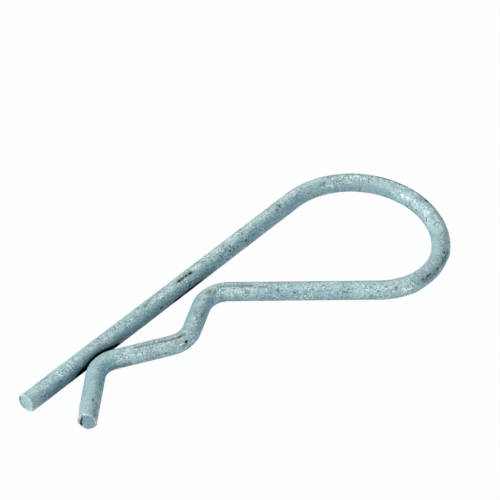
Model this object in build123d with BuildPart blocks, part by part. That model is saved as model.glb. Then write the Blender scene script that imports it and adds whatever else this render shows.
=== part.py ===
from build123d import *
from math import cos, radians, sin
import os

# A spring clip bent from one length of round wire: a straight leg that passes through the cross hole
# of a shaft, a round bow, and a waved leg that grips the outside of the shaft. It lies flat, with the
# straight leg along X, the bow at +X and the waved leg on the -Y side. Millimetres and degrees.

# Wire
wire_diameter = 4.0
end_edge_radius = 0.35

# Straight leg, from its free tip to where the bow begins
straight_leg_length = 79.0

# Bow, in three arcs that flow into each other: out of the straight leg, over the crown and back
shoulder_radius = 17.0
shoulder_angle = 78.5
crown_radius = 19.2
crown_angle = 68.5
heel_radius = 13.8

# Return run, which slants from the bow to the neck, its angle measured from the straight leg
return_angle = 47.7

# Neck, where the waved leg first comes near the straight leg, and the rise from there to the seat
neck_gap = 2.7
neck_bend_radius = 6.0
riser_angle = 26.7

# Seat, the hollow that holds the shaft, its depth measured from the straight leg's centre line to the
# inside of the waved leg, and the run that leads on to the throat
seat_depth = 9.2
seat_bend_radius = 6.1
run_out_angle = 29.0

# Throat, where the two legs all but touch, and the flared end that guides the shaft in
throat_gap = 0.08
throat_bend_radius = 5.2
flare_angle = 37.1
flare_length = 12.35

# Lean of the waved leg out of the plane of the bow, about the line of its return run, so that the
# throat lies a little way up the side of the straight leg. The waved leg's sizes above are those of
# the leg before it leans.
waved_leg_lean = 1.2

# Distances of the waved leg's centre line from that of the straight leg
wire_radius = wire_diameter / 2
neck_height = wire_diameter + neck_gap
seat_height = seat_depth + wire_radius
throat_height = wire_diameter + throat_gap


def run_between_bends(rise, angle, bend_radii):
    """Length of the slanted run that is left of a rise once the bends at its ends are taken off."""
    taken_by_bends = bend_radii * (1 - cos(radians(angle)))
    return (rise - taken_by_bends) / sin(radians(angle))


# Centre line of the straight leg and the bow, drawn from the tip as the wire would be bent
with BuildLine() as bow_line:
    straight_leg = Line((0, 0), (straight_leg_length, 0))
    shoulder = JernArc(straight_leg @ 1, straight_leg % 1, shoulder_radius, -shoulder_angle)
    crown = JernArc(shoulder @ 1, shoulder % 1, crown_radius, -crown_angle)
    heel_angle = 180 + return_angle - shoulder_angle - crown_angle
    heel = JernArc(crown @ 1, crown % 1, heel_radius, -heel_angle)

# Centre line of the waved leg, drawn on from the bow in the same plane
with BuildLine() as waved_line:
    bow_height = -(heel @ 1).Y
    return_length = run_between_bends(
        bow_height - neck_height, return_angle, neck_bend_radius
    )
    return_run = PolarLine(heel @ 1, return_length, direction=heel % 1)
    neck = JernArc(
        return_run @ 1, return_run % 1, neck_bend_radius, return_angle + riser_angle
    )

    riser_length = run_between_bends(
        seat_height - neck_height, riser_angle, neck_bend_radius + seat_bend_radius
    )
    riser = PolarLine(neck @ 1, riser_length, direction=neck % 1)
    seat = JernArc(riser @ 1, riser % 1, seat_bend_radius, -riser_angle - run_out_angle)

    run_out_length = run_between_bends(
        seat_height - throat_height, run_out_angle, seat_bend_radius + throat_bend_radius
    )
    run_out = PolarLine(seat @ 1, run_out_length, direction=seat % 1)
    throat = JernArc(
        run_out @ 1, run_out % 1, throat_bend_radius, run_out_angle + flare_angle
    )
    flare = PolarLine(throat @ 1, flare_length, direction=throat % 1)

# The waved leg leans, and the two lines make one
lean_axis = Axis(heel @ 1, heel % 1)
leaning_line = waved_line.line.rotate(lean_axis, waved_leg_lean)
centre_line = Wire([*bow_line.edges(), *leaning_line.edges()])

# The bent wire, with the edges of its two cut ends rounded over
with BuildPart() as r_clip:
    with BuildSketch(Plane(straight_leg @ 0, z_dir=straight_leg % 0)):
        Circle(wire_radius)
    sweep(path=centre_line)
    end_faces = r_clip.faces().filter_by(GeomType.PLANE)
    fillet(end_faces.edges(), end_edge_radius)

# It rests on its own wire, with the middle of its box over the origin
resting_box = r_clip.part.bounding_box()
resting_place = Location((-resting_box.center().X, -resting_box.center().Y, wire_radius))
r_clip.part.locate(resting_place)

r_clip.part.label = "r_clip"
os.makedirs("parts", exist_ok=True)
export_step(r_clip.part, "parts/r_clip.step")
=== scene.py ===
import math
from typing import NamedTuple

import bpy
import numpy as np
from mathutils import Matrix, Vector, noise


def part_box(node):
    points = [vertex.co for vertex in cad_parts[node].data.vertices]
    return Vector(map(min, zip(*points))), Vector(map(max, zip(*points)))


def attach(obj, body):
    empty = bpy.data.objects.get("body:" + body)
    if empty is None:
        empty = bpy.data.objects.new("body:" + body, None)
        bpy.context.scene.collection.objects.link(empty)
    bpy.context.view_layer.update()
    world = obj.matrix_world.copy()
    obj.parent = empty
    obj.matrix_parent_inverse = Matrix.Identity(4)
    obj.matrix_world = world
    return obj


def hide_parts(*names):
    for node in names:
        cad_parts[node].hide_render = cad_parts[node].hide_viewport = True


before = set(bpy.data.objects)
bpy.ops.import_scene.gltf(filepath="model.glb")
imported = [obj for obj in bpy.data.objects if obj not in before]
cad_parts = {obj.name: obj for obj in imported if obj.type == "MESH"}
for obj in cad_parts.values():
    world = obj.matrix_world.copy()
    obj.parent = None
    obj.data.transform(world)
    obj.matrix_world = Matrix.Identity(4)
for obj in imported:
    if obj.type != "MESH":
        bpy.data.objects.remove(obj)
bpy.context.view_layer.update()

bl_info = {
    "name": "Hitch R clip",
    "version": (1, 0, 0),
    "blender": (4, 5, 0),
    "location": "3D View > Sidebar > R clip",
    "description": "Bends the clip from galvanised wire and sets it in a small studio",
    "category": "Object",
}

MM = 0.001
WHITE = (1.0, 1.0, 1.0)
CLIP_NODE = "r_clip"
CLIP_BODY = "root"
WIRE_MAP = "wire_map"
BAKE_MAP = "OFBake"
HOLLOWS = "hollows"


# Kinds of property

def distance(name, description, default_mm):
    """A length, its default in millimetres."""
    return bpy.props.FloatProperty(
        name=name, description=description, default=default_mm * MM, unit="LENGTH", precision=5
    )


def turn(name, description, default_degrees):
    """An angle, its default in degrees."""
    return bpy.props.FloatProperty(
        name=name, description=description, default=math.radians(default_degrees), subtype="ANGLE"
    )


def colour(name, description, default):
    """A colour as the shader takes it."""
    return bpy.props.FloatVectorProperty(
        name=name, description=description, default=default, size=3, min=0, max=1, subtype="COLOR"
    )


def share(name, description, default):
    """A share from none to all."""
    return bpy.props.FloatProperty(
        name=name, description=description, default=default, min=0, max=1, subtype="FACTOR"
    )


def watts(name, description, default):
    """The power of a lamp."""
    return bpy.props.FloatProperty(
        name=name, description=description, default=default, min=0, unit="POWER"
    )


# Sizes, finish and studio

class WireSizes(bpy.types.PropertyGroup):
    """The bends of the wire, the same as those of the solid"""

    wire_diameter: distance("Wire", "Diameter of the wire", 4.0)
    leg_length: distance("Straight leg", "From the free tip to where the bow begins", 79.0)
    shoulder_radius: distance("Shoulder radius", "First arc of the bow", 17.0)
    shoulder_turn: turn("Shoulder turn", "How far the first arc turns", 78.5)
    crown_radius: distance("Crown radius", "Middle arc of the bow", 19.2)
    crown_turn: turn("Crown turn", "How far the middle arc turns", 68.5)
    heel_radius: distance("Heel radius", "Last arc of the bow", 13.8)
    return_slant: turn("Return slant", "Slant of the run from the bow to the neck", 47.7)
    neck_gap: distance("Neck gap", "Between the two legs at the neck", 2.7)
    neck_radius: distance("Neck radius", "Bend at the neck", 6.0)
    riser_slant: turn("Riser slant", "Slant of the run from the neck to the seat", 26.7)
    seat_depth: distance("Seat depth", "From the straight leg's centre line into the seat", 9.2)
    seat_radius: distance("Seat radius", "Bend at the seat", 6.1)
    run_out_slant: turn("Run-out slant", "Slant of the run from the seat to the throat", 29.0)
    throat_gap: distance("Throat gap", "Between the two legs at the throat", 0.08)
    throat_radius: distance("Throat radius", "Bend at the throat", 5.2)
    flare_slant: turn("Flare slant", "Slant of the flared end", 37.1)
    flare_length: distance("Flare", "Length of the flared end past the throat bend", 12.35)
    waved_leg_lean: turn("Lean", "How far the waved leg leans out of the bow's plane", 1.2)


class ZincFinish(bpy.types.PropertyGroup):
    """Hot-dip galvanising and what has rubbed against it, with painted shade and painted highlights"""

    sunk_zinc: colour("Sunk zinc", "Pores and the deepest hollows of the coat", (0.045, 0.082, 0.085))
    # Painted shade: the dark blue of the undersides and of the throat
    painted_shade_zinc: colour("Shaded zinc", "Film where the coat was not rubbed", (0.014, 0.075, 0.115))
    # Darker coat in the mottle and on the flare's face, also painted shade in the greyed patches
    dull_zinc_and_shade: colour("Dull zinc", "Darker patches of the coat", (0.230, 0.352, 0.372))
    # Painted shade: a bluer tint for sides that face away from the light
    shade_blue_tint: colour("Blue tint", "Tint of the coat where it has kept its first skin", (0.81, 0.93, 1.00))
    plain_zinc: colour("Plain zinc", "The coat's usual colour", (0.350, 0.512, 0.536))
    pale_zinc: colour("Pale zinc", "Lighter patches of the coat", (0.480, 0.650, 0.665))
    # Crystals and rubbed edges, also painted highlights on the spangles, the rims of the ends and the
    # flare's lip
    bright_zinc_and_highlight: colour("Bright zinc", "Crystals that catch the light", (0.830, 0.915, 0.840))
    rust: colour("Rust", "Bare steel in a nick", (0.007, 0.015, 0.004))
    stain: colour("Stain", "Olive grey round a nick and along a rubbed line", (0.190, 0.225, 0.180))
    olive_tint: colour("Olive tint", "Tint of the coat round a nick or a rub", (0.95, 0.89, 0.71))
    # Painted shade: near black where the legs shade each other and in the burr's crevice, and the colour of
    # the pits
    grime: colour("Grime", "What has settled where the legs meet", (0.002, 0.012, 0.018))
    metal_share: share("Metal", "How metallic the dull coat is", 0.18)
    gloss: share("Gloss", "How far the coat's skin mirrors what is round it", 0.25)
    roughness: share("Roughness", "How matt the coat is", 0.62)
    broad_depth: distance("Broad unevenness", "How far the coat's thickness drifts", 0.024)
    lump_depth: distance("Lumps", "Depth of the hollows between lumps", 0.035)
    grain_depth: distance("Grain", "Depth of the coat's grain", 0.016)
    fine_depth: distance("Fine grain", "Depth of the grain that is too fine for the mesh", 0.03)


class Studio(bpy.types.PropertyGroup):
    """Floor, lights and camera"""

    floor_colour: colour("Floor", "Pale floor", (0.52, 0.70, 0.80))
    floor_glow: share("White floor", "How far the floor is whitened where it is looked at", 0.98)
    sky_level: share("Room light", "Even light from all round", 0.01)
    key_power: watts("Key light", "Large soft light beyond the tips, on the straight leg's side", 8.2)
    front_power: watts("Front light", "Low soft light on the waved leg's side", 2.4)
    front_shade: colour("Front shade", "Cool daylight of the front light", (0.93, 0.98, 1.00))
    back_power: watts("Back light", "High soft light beyond the bow", 2.0)
    lens: bpy.props.FloatProperty(
        name="Lens", description="Focal length on a 36 mm sensor", default=136.43, unit="CAMERA"
    )
    camera_distance: distance("Camera distance", "From the camera to what it looks at", 395.87)
    camera_azimuth: turn("Camera azimuth", "Round the clip, from the side of the waved leg", -48.55)
    camera_elevation: turn("Camera elevation", "Above the floor", 43.0)
    look_at: bpy.props.FloatVectorProperty(
        name="Look at",
        description="Point in the middle of the picture",
        default=(12.027 * MM, 14.293 * MM, 2.076 * MM),
        size=3,
        subtype="TRANSLATION",
        unit="LENGTH",
        precision=5,
    )


# Marks on the wire

class Mark(NamedTuple):
    """A line or spot on the coat, by millimetres along the wire and degrees round it from the top, with
    its half width and its depth in millimetres."""

    start: tuple
    end: tuple
    width: float
    depth: float = 0.0


MARKS = {
    # Bare steel where the coat was struck
    "nick": (
        Mark((33.0, -4.0), (33.1, -2.0), 0.34, 0.04),
        Mark((42.8, -4.6), (43.4, -5.2), 0.44, 0.10),
        Mark((43.9, -5.8), (44.4, -6.4), 0.36, 0.08),
        Mark((44.9, -6.9), (45.3, -7.1), 0.38, 0.09),
        Mark((46.0, -8.2), (46.5, -9.2), 0.52, 0.12),
        Mark((73.0, -27.0), (73.0, -27.0), 0.28, 0.03),
        Mark((73.7, -2.0), (73.7, -2.0), 0.25, 0.03),
        Mark((74.2, -11.0), (74.0, -18.0), 0.22, 0.03),
        Mark((194.0, 11.0), (194.7, 10.4), 0.22, 0.04),
    ),
    # Olive grey specks round nicks and rubs
    "stain": (
        Mark((0.2, -96.0), (0.3, -62.0), 0.30),
        Mark((15.6, -52.0), (18.6, -48.0), 0.55),
        Mark((33.2, -1.8), (35.8, 20.0), 0.50, 0.02),
        Mark((42.5, -4.6), (46.8, -9.2), 0.40),
        Mark((62.5, 30.0), (63.2, 29.0), 0.38, 0.03),
        Mark((71.2, 26.0), (72.0, 20.0), 0.38, 0.03),
        Mark((72.6, -26.0), (74.2, -6.0), 0.60),
        Mark((172.8, -19.0), (175.9, -24.0), 0.36),
        Mark((178.8, 24.0), (179.4, 30.0), 0.55),
        Mark((179.8, 2.0), (180.3, 14.0), 0.75),
        Mark((186.0, 50.0), (187.4, 38.0), 0.50),
        Mark((188.0, 14.0), (188.6, 22.0), 0.40),
        Mark((193.3, 11.5), (195.1, 10.0), 0.62),
        Mark((193.9, 62.0), (193.9, 66.0), 0.40),
        Mark((194.8, 10.6), (197.8, 8.8), 0.36),
    ),
    # Lines rubbed along the waved leg
    "scuff": (
        Mark((167.7, 21.2), (169.3, 19.2), 0.32),
        Mark((170.7, 11.0), (174.4, 9.6), 0.50, 0.03),
        Mark((174.4, 9.6), (177.4, 8.6), 0.36, 0.03),
        Mark((193.4, 11.5), (198.0, 8.6), 0.50, 0.04),
        Mark((198.0, 8.6), (203.6, 4.6), 0.34, 0.04),
    ),
    # Coat that is tinted round a nick or a rub
    "olive": (
        Mark((0.5, -76.0), (1.1, -56.0), 0.38),
        Mark((42.7, -4.6), (46.9, -9.4), 0.82),
        Mark((179.5, -4.0), (180.6, 6.0), 0.75),
    ),
    # Dark hollows
    "pit": (
        Mark((8.0, -55.0), (8.1, -55.0), 0.34, 0.05),
        # Painted shadow on the straight leg's underside beside the throat
        Mark((10.6, -108.0), (12.8, -102.0), 0.95),
        Mark((35.9, -71.0), (36.0, -71.0), 0.46, 0.05),
        Mark((54.7, -47.0), (54.7, -47.0), 0.32, 0.04),
        Mark((57.1, -48.0), (57.2, -50.0), 0.42, 0.06),
        Mark((58.2, -55.0), (58.2, -55.0), 0.36, 0.05),
        Mark((59.4, -61.0), (59.4, -61.0), 0.34, 0.05),
        Mark((61.0, -50.0), (61.1, -50.0), 0.32, 0.05),
        Mark((61.7, -60.0), (61.9, -57.0), 0.38, 0.05),
        Mark((63.0, -53.0), (63.2, -51.0), 0.34, 0.05),
        Mark((111.3, 21.0), (111.5, 30.0), 0.46, 0.05),
        Mark((115.0, 13.0), (116.2, 26.0), 0.24, 0.03),
        Mark((127.2, 29.0), (127.4, 30.0), 0.36, 0.04),
        Mark((128.7, 37.0), (128.8, 38.0), 0.34, 0.05),
        Mark((129.3, 46.0), (129.4, 47.0), 0.32, 0.04),
        Mark((131.5, 50.0), (131.7, 52.0), 0.48, 0.06),
        Mark((133.7, 43.0), (134.8, 43.0), 0.36, 0.06),
        Mark((135.7, 44.0), (136.1, 44.0), 0.30, 0.05),
        Mark((141.6, 40.0), (141.6, 41.0), 0.36, 0.05),
        Mark((165.4, 36.0), (165.6, 38.0), 0.36, 0.03),
        Mark((221.7, 23.0), (222.2, 22.0), 0.24, 0.03),
        Mark((222.1, -11.0), (222.1, -9.0), 0.24, 0.03),
        Mark((226.1, 104.0), (226.2, 108.0), 0.26),
    ),
    # Small specks where the coat did not close
    "pore": (
        Mark((3.4, -66.0), (3.6, -64.0), 0.40, 0.02),
        Mark((46.0, 27.0), (46.9, 26.0), 0.40, 0.03),
        Mark((49.2, 29.0), (50.4, 28.0), 0.40, 0.03),
        Mark((85.8, -36.0), (87.3, -25.0), 0.32, 0.03),
        Mark((90.4, 6.0), (90.5, 7.0), 0.34, 0.04),
        Mark((91.0, -35.0), (91.0, -35.0), 0.30, 0.03),
        Mark((93.2, 22.0), (93.4, 23.0), 0.34, 0.04),
        Mark((95.1, 13.0), (95.6, 6.0), 0.30, 0.03),
        Mark((97.4, -18.0), (97.5, -18.0), 0.30, 0.03),
        Mark((99.7, -15.0), (99.7, -15.0), 0.30, 0.03),
        Mark((100.7, 7.0), (100.8, 8.0), 0.30, 0.03),
        Mark((150.3, 60.0), (152.0, 54.0), 0.34, 0.03),
        Mark((154.4, 39.0), (154.4, 40.0), 0.30, 0.03),
        Mark((158.2, 38.0), (158.4, 40.0), 0.40, 0.04),
        Mark((162.0, 57.0), (162.2, 58.0), 0.40, 0.04),
        Mark((172.5, 71.0), (172.6, 72.0), 0.36, 0.03),
        Mark((178.9, 23.0), (178.9, 24.0), 0.30, 0.04),
        Mark((179.0, 4.4), (179.1, 5.0), 0.30, 0.04),
        Mark((197.8, 84.0), (198.1, 86.0), 0.36, 0.03),
        Mark((204.0, 3.6), (204.0, 4.0), 0.36, 0.04),
    ),
    # Bright crystals, with the coat painted lighter there as a highlight
    "spangle": (
        Mark((1.5, -8.0), (9.0, -6.0), 1.2),
        Mark((6.2, -27.0), (8.4, -30.0), 0.8),
        Mark((20.5, -24.0), (29.0, -28.0), 0.9),
        Mark((34.0, -16.0), (41.0, -14.0), 0.9),
        Mark((47.2, 2.0), (50.0, 0.0), 0.9),
        Mark((52.0, 8.0), (62.0, 10.0), 1.7),
        Mark((86.6, -61.0), (88.6, -54.0), 0.65),
        Mark((90.0, 4.0), (109.0, 9.0), 1.2),
        Mark((90.5, -48.0), (93.0, -44.0), 0.65),
        Mark((92.5, -16.0), (96.6, -14.0), 0.75),
        Mark((105.5, -46.0), (117.5, -46.0), 1.5),
        Mark((137.0, 84.0), (150.0, 84.0), 1.4),
        Mark((138.0, 64.0), (146.0, 62.0), 1.8),
        Mark((141.0, 22.0), (148.0, 34.0), 1.2),
        Mark((156.6, 20.0), (161.5, 27.0), 1.1),
        Mark((164.0, 20.0), (168.0, 27.0), 1.0),
        Mark((168.0, 44.0), (177.0, 40.0), 1.7),
        Mark((181.8, 9.0), (183.2, 16.0), 0.9),
        Mark((188.5, 6.0), (189.8, 34.0), 1.0),
        Mark((193.0, 66.0), (207.0, 60.0), 2.3),
    ),
    # Painted highlights: paler streaks where the light glints along the crown, the heel and the legs
    "sheen": (
        Mark((64.0, 10.0), (86.0, 14.0), 1.5),
        Mark((96.5, -14.0), (101.5, -10.0), 1.1),
        Mark((105.5, -48.0), (116.5, -50.0), 1.9),
        Mark((108.5, -42.0), (114.0, -40.0), 1.8),
        Mark((114.0, 12.0), (120.5, 14.0), 1.1),
        Mark((139.5, 24.0), (149.0, 40.0), 2.2),
        Mark((197.5, 68.0), (204.5, 64.0), 1.2),
    ),
    # Coat with little grain
    "smooth": (
        Mark((0.5, -20.0), (3.0, -14.0), 2.4),
        Mark((92.0, -84.0), (100.0, -68.0), 1.1),
        Mark((98.5, -44.0), (103.0, -32.0), 1.0),
        Mark((101.0, -20.0), (107.5, -9.0), 0.8),
        Mark((121.0, -40.0), (134.0, -30.0), 2.2),
        Mark((184.0, -46.0), (192.0, -34.0), 1.7),
        Mark((209.5, -20.0), (226.2, -20.0), 3.4),
    ),
    # Painted shade: a bluer tint on the sides that face away from the light
    "blued": (
        Mark((3.0, -62.0), (80.0, -56.0), 1.8),
        Mark((181.5, -42.0), (192.5, -42.0), 1.6),
        Mark((181.5, 60.0), (192.5, 60.0), 1.7),
        Mark((209.0, 54.0), (220.0, 54.0), 1.5),
        Mark((209.5, -50.0), (220.5, -48.0), 1.7),
    ),
    # Greyer patches, mostly painted shade beside the throat and on sides away from the light, and one
    # painted dimming of a bright spot on the crown
    "greyed": (
        Mark((6.5, -90.0), (12.5, -88.0), 1.3),
        Mark((13.0, -44.0), (23.5, -44.0), 1.4),
        Mark((18.5, -66.0), (26.5, -66.0), 1.6),
        Mark((95.5, -72.0), (103.0, -66.0), 1.4),
        Mark((105.4, -50.0), (107.2, -47.0), 0.9),
        Mark((114.5, -84.0), (126.0, -84.0), 1.1),
        Mark((181.5, -40.0), (191.5, -38.0), 1.1),
        Mark((192.5, -12.0), (198.0, -12.0), 0.9),
    ),
    # Painted shade on the straight leg's underside and at the throat, and on the waved leg's lower side,
    # with darker patches beside the pits on the heel
    "dull": (
        Mark((4.0, -100.0), (51.0, -98.0), 2.2),
        Mark((9.5, -98.0), (27.0, -98.0), 2.4),
        Mark((15.0, -60.0), (19.6, -60.0), 1.8),
        Mark((126.5, 50.0), (130.5, 56.0), 0.8),
        Mark((132.0, 62.0), (135.5, 56.0), 1.0),
        Mark((205.5, 94.0), (218.0, 94.0), 1.0),
    ),
    # Rust on the tip's edge and in a line along the bow
    "rim": (
        Mark((-0.1, 62.0), (-0.1, 150.0), 0.40),
        Mark((99.0, 19.0), (112.0, 39.0), 0.30),
    ),
    # Coat rubbed bright along the flare's lip, and a painted highlight there
    "bare": (
        Mark((226.5, -118.0), (226.4, -44.0), 0.55),
    ),
    # Painted shadow where the legs shade each other at the throat and beside the neck, and behind the
    # flare's burr; a dark dot in the seat
    "grime": (
        Mark((12.2, -110.0), (13.2, -105.0), 0.75),
        Mark((12.4, -97.0), (14.0, -88.0), 0.95),
        Mark((14.0, -86.0), (16.0, -71.0), 0.78),
        Mark((14.5, -98.0), (20.5, -98.0), 1.40),
        Mark((16.0, -70.0), (17.7, -63.0), 0.64),
        Mark((17.7, -63.0), (19.3, -70.0), 0.62),
        Mark((19.3, -70.0), (21.0, -81.0), 0.62),
        Mark((21.0, -82.0), (23.4, -99.0), 0.66),
        Mark((40.0, -113.0), (47.5, -113.0), 1.1),
        Mark((193.8, 54.0), (193.9, 55.5), 0.38, 0.10),
        Mark((207.0, -100.0), (215.0, -100.0), 1.1),
        Mark((226.2, -134.0), (226.4, -124.0), 0.40),
    ),
}

# Flats worn into the wire
FLATS = (
    Mark((129.5, 85.0), (134.0, 85.0), 3.4, 0.24),
    Mark((225.5, -88.0), (227.0, -88.0), 3.0, 0.22),
)

# Distance from a mark, in shares of its width, past which it no longer counts
FAR_FROM_MARKS = 4.0
# Length below which a mark is a round spot
SPOT_LENGTH = 1e-6


# The bent wire

def run_between_bends(rise, slant, bend_radii):
    """Length of the slanted run that is left of a rise once the bends at its ends are taken off."""
    taken_by_bends = bend_radii * (1 - math.cos(slant))
    return (rise - taken_by_bends) / math.sin(slant)


def bend(radius, turned):
    """A bend as a length of wire and its curvature, positive to the left."""
    return abs(turned) * radius, math.copysign(1 / radius, turned)


def length_of(pieces):
    """Length of some runs and bends together."""
    return sum(length for length, _ in pieces)


def runs_and_bends(sizes):
    """The centre line from the straight tip on, each piece as its length and its curvature."""
    wire = sizes.wire_diameter
    neck_height = wire + sizes.neck_gap
    seat_height = sizes.seat_depth + wire / 2
    throat_height = wire + sizes.throat_gap
    heel_turn = math.pi + sizes.return_slant - sizes.shoulder_turn - sizes.crown_turn
    pieces = [
        (sizes.leg_length, 0),
        bend(sizes.shoulder_radius, -sizes.shoulder_turn),
        bend(sizes.crown_radius, -sizes.crown_turn),
        bend(sizes.heel_radius, -heel_turn),
    ]
    bow_height = -follow(pieces, np.array([length_of(pieces)]))[1][0]
    return_length = run_between_bends(bow_height - neck_height, sizes.return_slant, sizes.neck_radius)
    riser_length = run_between_bends(
        seat_height - neck_height, sizes.riser_slant, sizes.neck_radius + sizes.seat_radius
    )
    run_out_length = run_between_bends(
        seat_height - throat_height, sizes.run_out_slant, sizes.seat_radius + sizes.throat_radius
    )
    pieces += [
        (return_length, 0),
        bend(sizes.neck_radius, sizes.return_slant + sizes.riser_slant),
        (riser_length, 0),
        bend(sizes.seat_radius, -sizes.riser_slant - sizes.run_out_slant),
        (run_out_length, 0),
        bend(sizes.throat_radius, sizes.run_out_slant + sizes.flare_slant),
        (sizes.flare_length, 0),
    ]
    return pieces


def follow(pieces, stations):
    """Place and heading on the centre line at each station, from a tip at the origin that heads along X."""
    x = np.zeros_like(stations)
    y = np.zeros_like(stations)
    heading = np.zeros_like(stations)
    x0, y0, heading0, passed = 0.0, 0.0, 0.0, 0.0
    last = len(pieces) - 1
    for number, (length, curvature) in enumerate(pieces):
        here = stations >= passed if number else stations > -np.inf
        along = stations[here] - passed
        if number < last:
            along = np.minimum(along, length)
        heading[here] = heading0 + curvature * along
        if curvature:
            x[here] = x0 + (np.sin(heading[here]) - math.sin(heading0)) / curvature
            y[here] = y0 - (np.cos(heading[here]) - math.cos(heading0)) / curvature
            x0 += (math.sin(heading0 + curvature * length) - math.sin(heading0)) / curvature
            y0 -= (math.cos(heading0 + curvature * length) - math.cos(heading0)) / curvature
        else:
            x[here] = x0 + along * math.cos(heading0)
            y[here] = y0 + along * math.sin(heading0)
            x0 += length * math.cos(heading0)
            y0 += length * math.sin(heading0)
        heading0 += curvature * length
        passed += length
    return x, y, heading


class CutEnd(NamedTuple):
    """A sheared end of the wire, in millimetres and degrees: how far its edge is rounded, where and by
    how much more it is blunted, and how far its face stands out on the side that the angle points to."""

    edge: float
    blunted: tuple
    proud_angle: float
    proud: float


class Blunting(NamedTuple):
    """A stretch of a cut end's edge that is rounded more, by angle and spread in degrees."""

    angle: float
    spread: float
    extra: float


TIP_END = CutEnd(edge=0.12, blunted=(Blunting(-125, 55, 0.50),), proud_angle=120, proud=0.25)
FLARE_END = CutEnd(
    edge=0.14, blunted=(Blunting(70, 30, 0.22), Blunting(-130, 32, 0.36)), proud_angle=180, proud=0.05
)


class Burr(NamedTuple):
    """A lip that the shears left on a cut face and the crevice beside it, in millimetres and degrees.
    Side, height and slant place the crevice, and both fade out at their reach along it. The lip begins
    at its start, is full after its ramp and goes back to its root. The crevice's depth and width are
    those of its upper and its lower end."""

    side: float
    height: float
    slant: float
    reach: float
    lip: float
    lip_start: float
    lip_ramp: float
    lip_root: float
    crevice_depth: tuple
    crevice_width: tuple
    crevice_root: float


FLARE_BURR = Burr(
    side=-1.05,
    height=0.25,
    slant=14.21,
    reach=1.7,
    lip=0.24,
    lip_start=0.04,
    lip_ramp=0.2,
    lip_root=0.9,
    crevice_depth=(0.26, 0.60),
    crevice_width=(0.10, 0.17),
    crevice_root=0.25,
)

# Vertices round the wire, millimetres from ring to ring, and the rings of an end's face, of its rounded
# edge and of the zone behind them
AROUND = 80
RING_STEP = 0.22
FACE_RINGS = 14
EDGE_RINGS = 6
END_ZONE = 1.1
END_RINGS = 4


def end_profile(end, angles, wire_radius):
    """Rings of one cut end from the middle of its face to the plain wire, as distance back from the
    end, radius and how far the skin has turned from facing along the wire (1) to facing outward (0)."""
    edge = np.full_like(angles, end.edge)
    for blunting in end.blunted:
        away = (np.degrees(angles) - blunting.angle + 180) % 360 - 180
        edge += blunting.extra * np.exp(-((away / blunting.spread) ** 2))
    face_radius = wire_radius - edge
    back, radius, facing = [], [], []
    for ring in range(1, FACE_RINGS + 1):
        back.append(np.zeros_like(angles))
        radius.append(face_radius * ring / FACE_RINGS)
        facing.append(np.ones_like(angles))
    for ring in range(1, EDGE_RINGS + 1):
        turned = math.pi / 2 * ring / EDGE_RINGS
        back.append(edge * (1 - math.cos(turned)))
        radius.append(face_radius + edge * math.sin(turned))
        facing.append(np.full_like(angles, math.cos(turned)))
    for ring in range(1, END_RINGS + 1):
        part = ring / END_RINGS
        back.append(edge + (END_ZONE - edge) * part)
        radius.append(np.full_like(angles, wire_radius))
        facing.append(np.zeros_like(angles))
    back, radius, facing = np.array(back), np.array(radius), np.array(facing)
    across = radius / wire_radius * np.cos(angles - math.radians(end.proud_angle))
    back += end.proud * (0.5 - 0.5 * across) * np.clip(1 - back / END_ZONE, 0, 1)
    return back, radius, facing


def between(ends, part):
    """From the first of two values to the second by that share of the way."""
    first, second = ends
    return first + (second - first) * part


def sheared_lip(burr, side, height, back):
    """How far a burr's lip stands out past the face, less its crevice, by place on the face (millimetres
    to the side and up) and distance back from the end."""
    slant = math.radians(burr.slant)
    up, across = height - burr.height, side - burr.side
    along = up * math.cos(slant) + across * math.sin(slant)
    off = across * math.cos(slant) - up * math.sin(slant)
    low = np.clip(0.5 - along / 2, 0, 1)
    there = np.clip(burr.reach - np.abs(along), 0, 1)
    lip = burr.lip * np.clip((-off - burr.lip_start) / burr.lip_ramp, 0, 1)
    crevice_width = between(burr.crevice_width, low)
    crevice = between(burr.crevice_depth, low) * np.exp(-((off / crevice_width) ** 2))
    lip *= np.clip(1 - back / burr.lip_root, 0, 1)
    crevice *= np.clip(1 - back / burr.crevice_root, 0, 1)
    return (lip - crevice) * there


def mark_reach(mark, station, degrees, circumference):
    """Distance from the middle of a mark, in shares of its width."""
    (s0, a0), (s1, a1) = mark.start, mark.end
    around = circumference / 360
    line = np.array([s1 - s0, (a1 - a0) * around])
    length = max(np.hypot(*line), SPOT_LENGTH)
    along = ((station - s0) * line[0] + (degrees - a0) * around * line[1]) / length
    nearest = np.clip(along, 0, length) / length
    away = np.hypot(station - s0 - nearest * line[0], (degrees - a0) * around - nearest * line[1])
    return away / mark.width


def mark_depth(marks, station, degrees, circumference):
    """How deep the marks cut into the wire, in millimetres."""
    depth = np.zeros_like(station)
    for mark in marks:
        reach = mark_reach(mark, station, degrees, circumference)
        depth = np.maximum(depth, mark.depth * np.clip(1 - reach**2, 0, 1))
    return depth


def nearest_reach(marks, station, degrees, circumference):
    """Distance from the nearest of the marks, in shares of its width."""
    reach = np.full_like(station, FAR_FROM_MARKS)
    for mark in marks:
        reach = np.minimum(reach, mark_reach(mark, station, degrees, circumference))
    return reach


# Millimetres across the coat's unevenness
BROAD_SIZE = 7.0
LUMP_SIZE = 1.5
GRAIN_SIZE = 0.55
# How far the coat lies below its highest on the whole and strays from there, in shares of each depth
MEAN_HOLLOW = 0.35
HOLLOW_STRAY = 0.5
# Millimetres that the coat lies below its highest at the least
LEAST_HOLLOW = 0.01


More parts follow.
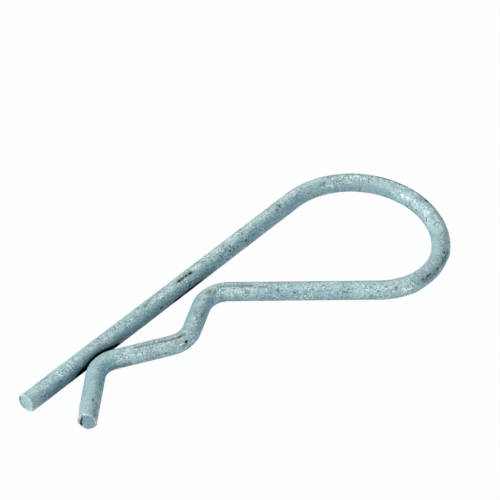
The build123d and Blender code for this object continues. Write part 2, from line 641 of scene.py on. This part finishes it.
def coat_hollows(points, finish):
    """How far the coat lies below its highest at each point, in millimetres."""
    layers = (
        (finish.broad_depth / MM, BROAD_SIZE),
        (finish.lump_depth / MM, LUMP_SIZE),
        (finish.grain_depth / MM, GRAIN_SIZE),
    )
    hollow = np.zeros(len(points))
    for number, point in enumerate(points):
        at = Vector(point)
        for depth, size in layers:
            hollow[number] += depth * (MEAN_HOLLOW + HOLLOW_STRAY * noise.noise(at / size))
    return np.maximum(hollow, LEAST_HOLLOW)


# Number of the return run among the runs and bends
RETURN_RUN = 4


def lean_out(skin, station, pieces, lean):
    """The skin with its waved leg turned out of the plane of the bow, about the line of the return run."""
    heel_end = length_of(pieces[:RETURN_RUN])
    (x0,), (y0,), (heading,) = follow(pieces, np.array([heel_end]))
    turned = lean * np.clip((station - heel_end) / pieces[RETURN_RUN][0], 0, 1)
    x, y, up = skin[..., 0] - x0, skin[..., 1] - y0, skin[..., 2]
    ahead = x * math.cos(heading) + y * math.sin(heading)
    aside = y * math.cos(heading) - x * math.sin(heading)
    leaning = aside * np.cos(turned) - up * np.sin(turned)
    risen = aside * np.sin(turned) + up * np.cos(turned)
    x = x0 + ahead * math.cos(heading) - leaning * math.sin(heading)
    y = y0 + ahead * math.sin(heading) + leaning * math.cos(heading)
    return np.stack([x, y, risen], -1)


def wire_skin(sizes, finish):
    """Vertices of the coated wire, ring by ring, in millimetres, with the place along the wire (below
    zero or past its length on the end faces), the radius and the depth of nicks and crevices at each."""
    pieces = [(length / MM, curvature * MM) for length, curvature in runs_and_bends(sizes)]
    total = length_of(pieces)
    wire_radius = sizes.wire_diameter / MM / 2
    angles = np.linspace(-math.pi, math.pi, AROUND, endpoint=False)

    # Rings from the middle of the tip's face to the middle of the flare's
    tip_back, tip_radius, tip_facing = end_profile(TIP_END, angles, wire_radius)
    flare_back, flare_radius, flare_facing = end_profile(FLARE_END, angles, wire_radius)
    middle = np.arange(END_ZONE + RING_STEP, total - END_ZONE - RING_STEP / 2, RING_STEP)
    plain = np.ones((len(middle), AROUND))
    flare_lip = sheared_lip(
        FLARE_BURR, flare_radius * np.sin(angles), flare_radius * np.cos(angles), flare_back
    )
    station = np.concatenate(
        [tip_back, middle[:, None] * plain, (total - flare_back + flare_lip)[::-1]]
    )
    radius = np.concatenate([tip_radius, wire_radius * plain, flare_radius[::-1]])
    facing = np.concatenate([-tip_facing, 0 * plain, flare_facing[::-1]])
    angle = np.broadcast_to(angles, station.shape)

    # The plain wire, and what the coat and the marks leave of it
    x, y, heading = follow(pieces, station)
    leftward = np.stack([-np.sin(heading), np.cos(heading), 0 * heading], -1)
    upward = np.array([0.0, 0.0, 1.0])
    outward = leftward * np.sin(angle)[..., None] + upward * np.cos(angle)[..., None]
    onward = np.stack([np.cos(heading), np.sin(heading), 0 * heading], -1)
    skin = np.stack([x, y, 0 * x], -1) + radius[..., None] * outward
    turned = facing[..., None]
    skin_normal = outward * np.sqrt(1 - turned**2) + onward * turned
    dents = [mark for marks in MARKS.values() for mark in marks if mark.depth]
    circumference = 2 * math.pi * wire_radius
    degrees = np.degrees(angle)
    flattened = mark_depth(FLATS, station, degrees, circumference)
    hollows = mark_depth(dents, station, degrees, circumference)
    coat = coat_hollows(skin.reshape(-1, 3), finish).reshape(station.shape)
    skin -= (coat + flattened + hollows)[..., None] * skin_normal
    skin = lean_out(skin, station, pieces, sizes.waved_leg_lean)
    hollows[-len(flare_lip):] += np.maximum(-flare_lip, 0)[::-1]

    # Place along the wire, which runs on over the two faces
    along = station.copy()
    along[:FACE_RINGS] = tip_radius[:FACE_RINGS] - tip_radius[FACE_RINGS - 1]
    along[-FACE_RINGS:] = total + (flare_radius[FACE_RINGS - 1] - flare_radius[:FACE_RINGS])[::-1]

    low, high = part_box(CLIP_NODE)
    tip = np.array([low[0], high[1], low[2]]) / MM + np.array([0, -wire_radius, wire_radius])
    return skin + tip, along, radius, hollows, total


class BakeSheet:
    """The wire laid out flat for baking, in millimetres: rows of its length one above the other, then the
    two end faces side by side."""

    ROWS = 4
    GAP = 0.4
    FACE_ROOM = 2.4
    FIRST_FACE = 2.8
    FACE_STEP = 5.0

    def __init__(self, total, circumference):
        self.row_length = total / self.ROWS
        self.row_height = circumference + self.GAP
        self.circumference = circumference
        self.side = self.row_length + 3 * self.GAP

    def strip(self, station, turns, row):
        """Place of a point on the wire's side."""
        across = (turns + 0.5) * self.circumference + self.GAP + row * self.row_height
        along = station - row * self.row_length + self.GAP
        return along / self.side, across / self.side

    def row_of(self, station):
        """Row that a place along the wire is in."""
        return min(int(station / self.row_length), self.ROWS - 1)

    def face(self, side, height, end):
        """Place of a point on the face of the tip (0) or the flare (1)."""
        across = self.FIRST_FACE + self.FACE_STEP * end + side
        up = self.GAP + self.ROWS * self.row_height + self.FACE_ROOM + height
        return across / self.side, up / self.side


def wire_mesh(sizes, finish):
    """The coated wire as a mesh, with one map for its finish and one for baking."""
    skin, station, radius, hollows, total = wire_skin(sizes, finish)
    rings = len(skin)
    circumference = math.pi * sizes.wire_diameter / MM
    sheet = BakeSheet(total, circumference)
    turns = np.arange(AROUND + 1) / AROUND - 0.5

    vertices = [tuple(point) for ring in skin for point in ring * MM]
    poles = [skin[0].mean(axis=0), skin[-1].mean(axis=0)]
    vertices += [tuple(pole * MM) for pole in poles]
    faces, wire_map, bake_map = [], [], []
    first_side = FACE_RINGS - 1
    last_side = rings - FACE_RINGS

    def corner(ring, column):
        return ring * AROUND + column % AROUND

    def face_place(ring, column, end):
        angle = turns[column] * 2 * math.pi
        reach = radius[ring, column % AROUND]
        return sheet.face(reach * math.sin(angle), reach * math.cos(angle), end)

    # Quads from ring to ring, then a fan in the middle of each face
    for ring in range(rings - 1):
        on_tip, on_flare = ring < first_side, ring >= last_side
        row = sheet.row_of(station[ring, 0])
        for column in range(AROUND):
            spots = ((ring, column), (ring + 1, column), (ring + 1, column + 1), (ring, column + 1))
            faces.append(tuple(corner(*spot) for spot in spots))
            for at, beside in spots:
                along = station[at, beside % AROUND]
                wire_map.append((along, turns[beside]))
                if on_tip or on_flare:
                    bake_map.append(face_place(at, beside, int(on_flare)))
                else:
                    bake_map.append(sheet.strip(along, turns[beside], row))
    for end, ring in enumerate((0, rings - 1)):
        pole = rings * AROUND + end
        for column in range(AROUND):
            pair = (column, column + 1) if end == 0 else (column + 1, column)
            faces.append((pole, *(corner(ring, beside) for beside in pair)))
            along = station[ring].mean()
            wire_map.append((along, turns[column] + 0.5 / AROUND))
            bake_map.append(sheet.face(0, 0, end))
            for beside in pair:
                wire_map.append((along, turns[beside]))
                bake_map.append(face_place(ring, beside, end))

    mesh = bpy.data.meshes.new("r_clip_wire")
    mesh.from_pydata(vertices, [], faces)
    for name, places in ((WIRE_MAP, wire_map), (BAKE_MAP, bake_map)):
        layer = mesh.uv_layers.new(name=name)
        layer.uv.foreach_set("vector", np.array(places, dtype=np.float32).ravel())
    degrees = np.broadcast_to(turns[:AROUND] * 360, station.shape)
    fields = {
        kind: nearest_reach(marks, station, degrees, circumference) for kind, marks in MARKS.items()
    }
    fields[HOLLOWS] = hollows
    for name, field in fields.items():
        layer = mesh.attributes.new(name, "FLOAT", "POINT")
        at_poles = [field[0].mean(), field[-1].mean()]
        layer.data.foreach_set("value", np.append(field.ravel(), at_poles).astype(np.float32))
    mesh.shade_smooth()
    mesh.update()
    return mesh


# Finishes

def rgba(shade):
    """A colour with nothing see-through."""
    return (*shade, 1.0)


class Value:
    """A socket in a Python expression: each operator adds a Math node."""

    def __init__(self, finish, socket):
        self.finish = finish
        self.socket = socket

    def maths(self, operation, *terms):
        """A Math node of that operation on the terms."""
        return self.finish.node("ShaderNodeMath", {"operation": operation}, dict(enumerate(terms)))

    def __add__(self, other):
        return self.maths("ADD", self, other)

    def __radd__(self, other):
        return self.maths("ADD", other, self)

    def __sub__(self, other):
        return self.maths("SUBTRACT", self, other)

    def __rsub__(self, other):
        return self.maths("SUBTRACT", other, self)

    def __mul__(self, other):
        return self.maths("MULTIPLY", self, other)

    def __rmul__(self, other):
        return self.maths("MULTIPLY", other, self)

    def __truediv__(self, other):
        return self.maths("DIVIDE", self, other)

    def __rtruediv__(self, other):
        return self.maths("DIVIDE", other, self)

    def at_least(self, other):
        return self.maths("MAXIMUM", self, other)

    def stray(self, amount):
        """How far a value from 0 to 1 is from its middle, times an amount."""
        return (self - 0.5) * amount

    def rise(self, low, high):
        """0 below low and 1 above high, eased between; falls instead where low is above high."""
        if low > high:
            return 1 - self.rise(high, low)
        return self.finish.node(
            "ShaderNodeMapRange",
            {"interpolation_type": "SMOOTHSTEP"},
            {"Value": self, "From Min": low, "From Max": high},
        )


class Finish:
    """A material's nodes."""

    def __init__(self, name):
        self.material = bpy.data.materials.new(name)
        self.material.use_nodes = True
        self.tree = self.material.node_tree
        self.tree.nodes.clear()

    def node(self, kind, settings, inputs, output=0):
        """One node of that type: its settings, then its sockets, which are found by name or number."""
        made = self.tree.nodes.new(kind)
        for name, value in settings.items():
            if name == "stops":
                self.set_stops(made.color_ramp, value)
            else:
                setattr(made, name, value)
        for key, value in inputs.items():
            socket = self.socket(made.inputs, key)
            if isinstance(value, Value):
                self.tree.links.new(value.socket, socket)
            else:
                socket.default_value = value
        return Value(self, self.socket(made.outputs, output)) if made.outputs else None

    @staticmethod
    def socket(sockets, key):
        """The socket of that number, or the enabled one of that name."""
        if isinstance(key, int):
            return sockets[key]
        return next(each for each in sockets if each.enabled and each.name == key)

    @staticmethod
    def set_stops(ramp, stops):
        """Gives a colour ramp its places and colours."""
        while len(ramp.elements) < len(stops):
            ramp.elements.new(1.0)
        for element, (position, shade) in zip(ramp.elements, stops):
            element.position = position
            element.color = rgba(shade)

    def mix(self, factor, under, over, blend="MIX"):
        """Two colours, the second over the first by the factor."""
        return self.node(
            "ShaderNodeMix",
            {"data_type": "RGBA", "blend_type": blend},
            {"Factor": factor, "A": under, "B": over},
            "Result",
        )

    def cloud(self, place, size_mm, detail, roughness=0.5):
        """Noise whose features are about that many millimetres across, from 0 to 1."""
        return self.node(
            "ShaderNodeTexNoise",
            {},
            {
                "Vector": place,
                "Scale": 1 / (size_mm * MM),
                "Detail": detail,
                "Roughness": roughness,
            },
            "Fac",
        )


# Millimetres across one crystal of the zinc
FACET_SIZE = 0.24


def galvanised_zinc(look, wire_length):
    """Matt, finely mottled zinc with bright crystals, pores and the marks of use, with painted shade and
    painted highlights, on a wire of that length in millimetres."""
    zinc = Finish("galvanised_zinc")
    place = zinc.node("ShaderNodeTexCoord", {}, {}, "Object")
    wire_place = zinc.node("ShaderNodeUVMap", {"uv_map": WIRE_MAP}, {}, "UV")
    station = zinc.node("ShaderNodeSeparateXYZ", {}, {"Vector": wire_place}, "X")
    hollow = zinc.node("ShaderNodeAttribute", {"attribute_name": HOLLOWS}, {}, "Fac")

    # Clouds of several sizes, and grains that each have a shade of their own
    drift = zinc.cloud(place, 9.0, detail=1.0)
    patches = zinc.cloud(place, 2.2, detail=2.0)
    grain = zinc.cloud(place, 0.42, detail=2.0, roughness=0.6)
    flecks = zinc.cloud(place, 0.30, detail=1.0)
    fine = zinc.cloud(place, 0.14, detail=1.0)
    cells = zinc.node(
        "ShaderNodeTexVoronoi", {}, {"Vector": place, "Scale": 1 / (FACET_SIZE * MM)}, "Color"
    )
    facets = zinc.node("ShaderNodeSeparateColor", {}, {"Color": cells}, "Red")
    wander = fine.stray(0.5) + grain.stray(0.8)

    def marked(kind, spread=1.0, core=0.45, ragged=1.0):
        """1 on the marks of that kind, from there fading to 0 at spread times their width."""
        reach = zinc.node("ShaderNodeAttribute", {"attribute_name": kind}, {}, "Fac")
        return (reach / spread + wander * ragged).rise(1.0, core)

    # Mottle, crystals and pores of the coat, and painted highlights
    smooth = marked("smooth", core=0.2, ragged=0.3)
    # Spangles: more crystals, and the coat painted lighter as a highlight
    spangle_highlight = marked("spangle", core=0.0, ragged=0.4)
    # Painted highlights: paler streaks where the light glints
    sheen = marked("sheen", core=0.0, ragged=0.3)
    spangled = spangle_highlight * zinc.cloud(place, 2.6, detail=1.0).rise(0.30, 0.66)
    spangled = spangled.at_least(zinc.cloud(place, 6.0, detail=1.0).rise(0.52, 0.74) * 0.5)
    spangled = spangled * (1 - smooth * 0.8)
    clusters = zinc.cloud(place, 1.3, detail=1.0).rise(0.35, 0.65)
    contrast = (0.46 + spangled * 0.34 - smooth * 0.22) * (0.65 + clusters * 0.7)
    # Lighter on the spangles and the painted highlights
    tone = (
        0.49
        + drift.stray(0.25)
        + patches.stray(0.35)
        + grain.stray(contrast * 0.80)
        + fine.stray(contrast * 0.70)
        + facets.stray(contrast * 0.90)
        + (spangle_highlight * 0.12).at_least(sheen * 0.15)
    )
    crystals = (facets + spangled * 0.16 + flecks.stray(0.3) + patches.stray(0.2)).rise(0.96, 1.06)
    crystals = crystals * (1 - smooth * 0.8) * (1 - sheen * 0.35)
    pores = zinc.cloud(place, 0.50, detail=1.0).rise(0.27, 0.19) * (1 - smooth)

    # Marks of use
    nick = marked("nick", 0.65)
    nick_edge = marked("nick", 1.4)
    scuffed = marked("scuff", core=0.1, ragged=0.6) * (0.5 + grain.rise(0.25, 0.60) * 0.4)
    stained = marked("stain", core=0.1) * grain.rise(0.30, 0.62)
    stained = stained.at_least(scuffed).at_least(nick_edge * 0.6)
    pit = marked("pit", core=0.2)
    rim = marked("rim") * grain.rise(0.25, 0.55)
    # The flare's lip, rubbed bright and painted as a highlight
    bare = marked("bare", core=0.2, ragged=0.5)
    # Painted shade: near black where the legs shade each other at the throat and beside the neck, and in
    # the deep crevice behind the flare's burr; only the dot in the seat is real grime
    grime = marked("grime", core=0.42, ragged=0.2).at_least(hollow.rise(0.14, 0.35))
    sunk = pores.at_least(marked("pore", core=0.2) * flecks.rise(0.36, 0.56))

    # The two cut faces, and their rubbed edges painted bright as a highlight
    past_flare = station - wire_length
    tip_face = station.rise(0.0, -0.25)
    flare_face = past_flare.rise(0.0, 0.25)
    # Rims of the cut ends, rubbed and painted bright as a highlight
    tip_rim = station.rise(-0.30, -0.05) * station.rise(0.60, 0.25)
    flare_rim = past_flare.rise(-0.55, -0.25) * past_flare.rise(0.25, 0.05)
    rubbed = tip_rim.at_least(flare_rim) * grain.rise(0.34, 0.60)

    # Colour, from the plain coat to what lies on it, with painted shade and painted highlights
    coat = zinc.node(
        "ShaderNodeValToRGB",
        {
            "stops": (
                (0.05, look.sunk_zinc),
                (0.30, look.dull_zinc_and_shade),
                (0.50, look.plain_zinc),
                (0.70, look.pale_zinc),
                (1.00, look.bright_zinc_and_highlight),
            )
        },
        {"Fac": tone},
    )
    # A bluer tint as painted shade, and an olive tint round nicks and rubs
    tints = (
        (marked("blued", core=0.0, ragged=0.2), look.shade_blue_tint),
        (marked("olive", core=0.35), look.olive_tint),
    )
    for cover, tint in tints:
        coat = zinc.mix(cover, coat, rgba(tint), "MULTIPLY")
    layers = (
        # Greyer patches, mostly painted shade
        (marked("greyed", core=0.0, ragged=0.3) * 0.40, look.dull_zinc_and_shade),
        (crystals * 0.64, look.bright_zinc_and_highlight),
        (tip_face * 0.55, look.pale_zinc),
        (flare_face * 0.50, look.dull_zinc_and_shade),
        # Painted highlights on the rims of the ends and the flare's lip, partly rubbed bright
        ((rubbed * 0.60).at_least(bare * 0.50), look.bright_zinc_and_highlight),
        # Painted shade on the undersides and at the throat
        (marked("dull", core=0.0, ragged=0.25) * 0.50, look.painted_shade_zinc),
        (sunk * (1 - tip_face - flare_face) * 0.65, look.sunk_zinc),
        (stained, look.stain),
        (rim * 0.70, look.rust),
        (pit * 0.72, look.grime),
        (nick, look.rust),
    )
    for cover, shade in layers:
        coat = zinc.mix(cover, coat, rgba(shade))

    # Surface
    dirt = stained.at_least(nick).at_least(sunk).at_least(pit).at_least(rim)
    roughness = look.roughness - tone.stray(0.25) - crystals * 0.08 + dirt * 0.15
    metal = (1 - dirt) * (look.metal_share + crystals * 0.10)
    relief = (grain * 0.6 + fine * 0.4) * (1 - smooth * 0.5) - sunk * 0.8
    bump = zinc.node(
        "ShaderNodeBump", {}, {"Strength": 0.8, "Distance": look.fine_depth, "Height": relief}
    )
    shader = zinc.node(
        "ShaderNodeBsdfPrincipled",
        {},
        {
            "Base Color": coat,
            "Metallic": metal,
            "Roughness": roughness,
            "Specular IOR Level": look.gloss,
            "Normal": bump,
        },
    )
    # Painted shade: a near-black diffuse skin where the legs shade each other and in the burr's crevice
    shade_and_grime_skin = zinc.node("ShaderNodeBsdfDiffuse", {}, {"Color": rgba(look.grime)})
    surface = zinc.node("ShaderNodeMixShader", {}, {0: grime * 0.98, 1: shader, 2: shade_and_grime_skin})
    zinc.node("ShaderNodeOutputMaterial", {}, {"Surface": surface})
    return zinc.material


class RCLIP_OT_wire(bpy.types.Operator):
    """Bends the clip from coated wire, in place of the plain solid"""

    bl_idname = "rclip.wire"
    bl_label = "Galvanised wire"

    def execute(self, context):
        scene = context.scene
        mesh = wire_mesh(scene.rclip_sizes, scene.rclip_finish)
        wire_length = length_of(runs_and_bends(scene.rclip_sizes)) / MM
        mesh.materials.append(galvanised_zinc(scene.rclip_finish, wire_length))
        wire = bpy.data.objects.new("r_clip_wire", mesh)
        scene.collection.objects.link(wire)
        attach(wire, CLIP_BODY)
        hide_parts(CLIP_NODE)
        return {"FINISHED"}


# The studio

# Sizes and places of the floor and the lamps, in metres
FLOOR_SIDE = 3.0
WIDE_LAMP = 0.50
NARROW_LAMP = 0.42
KEY_PLACE = (-0.597, 0.345, 0.579)
FRONT_PLACE = (0.0, -0.873, 0.218)
BACK_PLACE = (0.409, 0.409, 0.689)


def seen_directly(finish):
    """1 for a ray from the camera or off gloss or glass, and 0 for the light that falls on things."""
    rays = ("Is Camera Ray", "Is Glossy Ray", "Is Transmission Ray")
    camera, glossy, through = (finish.node("ShaderNodeLightPath", {}, {}, ray) for ray in rays)
    return camera.at_least(glossy).at_least(through)


def studio_floor(studio):
    """A pale floor that is looked at as white, with the clip's shadow still on it."""
    floor = Finish("studio_floor")
    pale = floor.node("ShaderNodeBsdfDiffuse", {}, {"Color": rgba(studio.floor_colour)})
    white = floor.node("ShaderNodeEmission", {}, {"Color": rgba(WHITE), "Strength": 1.0})
    surface = floor.node(
        "ShaderNodeMixShader", {}, {0: seen_directly(floor) * studio.floor_glow, 1: pale, 2: white}
    )
    floor.node("ShaderNodeOutputMaterial", {}, {"Surface": surface})
    return floor.material


class RoomLight(Finish):
    """The world's nodes."""

    def __init__(self, name):
        self.world = bpy.data.worlds.new(name)
        self.world.use_nodes = True
        self.tree = self.world.node_tree
        self.tree.nodes.clear()


def room_light(studio):
    """Even light from all round, which is looked at as white."""
    room = RoomLight("room")
    level = studio.sky_level
    lit = room.node("ShaderNodeBackground", {}, {"Color": rgba(WHITE), "Strength": level})
    white = room.node("ShaderNodeBackground", {}, {"Color": rgba(WHITE), "Strength": 1.0})
    surface = room.node("ShaderNodeMixShader", {}, {0: seen_directly(room), 1: lit, 2: white})
    room.node("ShaderNodeOutputWorld", {}, {"Surface": surface})
    return room.world


def soft_light(scene, name, power, shade, size, place):
    """A square soft light at that place, turned to the origin."""
    lamp = bpy.data.lights.new(name, "AREA")
    lamp.energy = power
    lamp.color = shade
    lamp.size = size
    light = bpy.data.objects.new(name, lamp)
    light.location = place
    light.rotation_euler = (-Vector(place)).to_track_quat("-Z", "Y").to_euler()
    scene.collection.objects.link(light)


class RCLIP_OT_studio(bpy.types.Operator):
    """Lays a pale floor under the clip, with soft light and a camera"""

    bl_idname = "rclip.studio"
    bl_label = "Floor, lights and camera"

    def execute(self, context):
        scene = context.scene
        studio = scene.rclip_studio
        reach = FLOOR_SIDE / 2
        corners = [(-reach, -reach, 0), (reach, -reach, 0), (reach, reach, 0), (-reach, reach, 0)]
        mesh = bpy.data.meshes.new("studio_floor")
        mesh.from_pydata(corners, [], [(0, 1, 2, 3)])
        mesh.materials.append(studio_floor(studio))
        floor = bpy.data.objects.new("studio_floor", mesh)
        scene.collection.objects.link(floor)

        scene.world = room_light(studio)
        lights = (
            ("key_light", studio.key_power, WHITE, WIDE_LAMP, KEY_PLACE),
            ("front_light", studio.front_power, studio.front_shade, NARROW_LAMP, FRONT_PLACE),
            ("back_light", studio.back_power, WHITE, WIDE_LAMP, BACK_PLACE),
        )
        for light in lights:
            soft_light(scene, *light)

        azimuth, elevation = studio.camera_azimuth, studio.camera_elevation
        back = Vector(
            (
                math.sin(azimuth) * math.cos(elevation),
                -math.cos(azimuth) * math.cos(elevation),
                math.sin(elevation),
            )
        )
        lens = bpy.data.cameras.new("camera")
        lens.lens = studio.lens
        camera = bpy.data.objects.new("camera", lens)
        camera.location = Vector(studio.look_at) + back * studio.camera_distance
        camera.rotation_euler = (-back).to_track_quat("-Z", "Y").to_euler()
        scene.collection.objects.link(camera)
        scene.camera = camera
        scene.view_settings.view_transform = "Standard"
        return {"FINISHED"}


# Panel and registration

class RCLIP_PT_panel(bpy.types.Panel):
    """The clip's sizes and finish, and the buttons that make it"""

    bl_idname = "RCLIP_PT_panel"
    bl_label = "Hitch R clip"
    bl_space_type = "VIEW_3D"
    bl_region_type = "UI"
    bl_category = "R clip"

    def draw(self, context):
        scene = context.scene
        for group, operator in (
            (scene.rclip_sizes, None),
            (scene.rclip_finish, RCLIP_OT_wire),
            (scene.rclip_studio, RCLIP_OT_studio),
        ):
            column = self.layout.column(align=True)
            for name in group.__annotations__:
                column.prop(group, name)
            if operator:
                self.layout.operator(operator.bl_idname)


CLASSES = (WireSizes, ZincFinish, Studio, RCLIP_OT_wire, RCLIP_OT_studio, RCLIP_PT_panel)


def register():
    for made in CLASSES:
        bpy.utils.register_class(made)
    bpy.types.Scene.rclip_sizes = bpy.props.PointerProperty(type=WireSizes)
    bpy.types.Scene.rclip_finish = bpy.props.PointerProperty(type=ZincFinish)
    bpy.types.Scene.rclip_studio = bpy.props.PointerProperty(type=Studio)


def unregister():
    del bpy.types.Scene.rclip_studio
    del bpy.types.Scene.rclip_finish
    del bpy.types.Scene.rclip_sizes
    for made in reversed(CLASSES):
        bpy.utils.unregister_class(made)


def main():
    register()
    bpy.ops.rclip.wire()
    bpy.ops.rclip.studio()


if __name__ == "__main__":
    main()
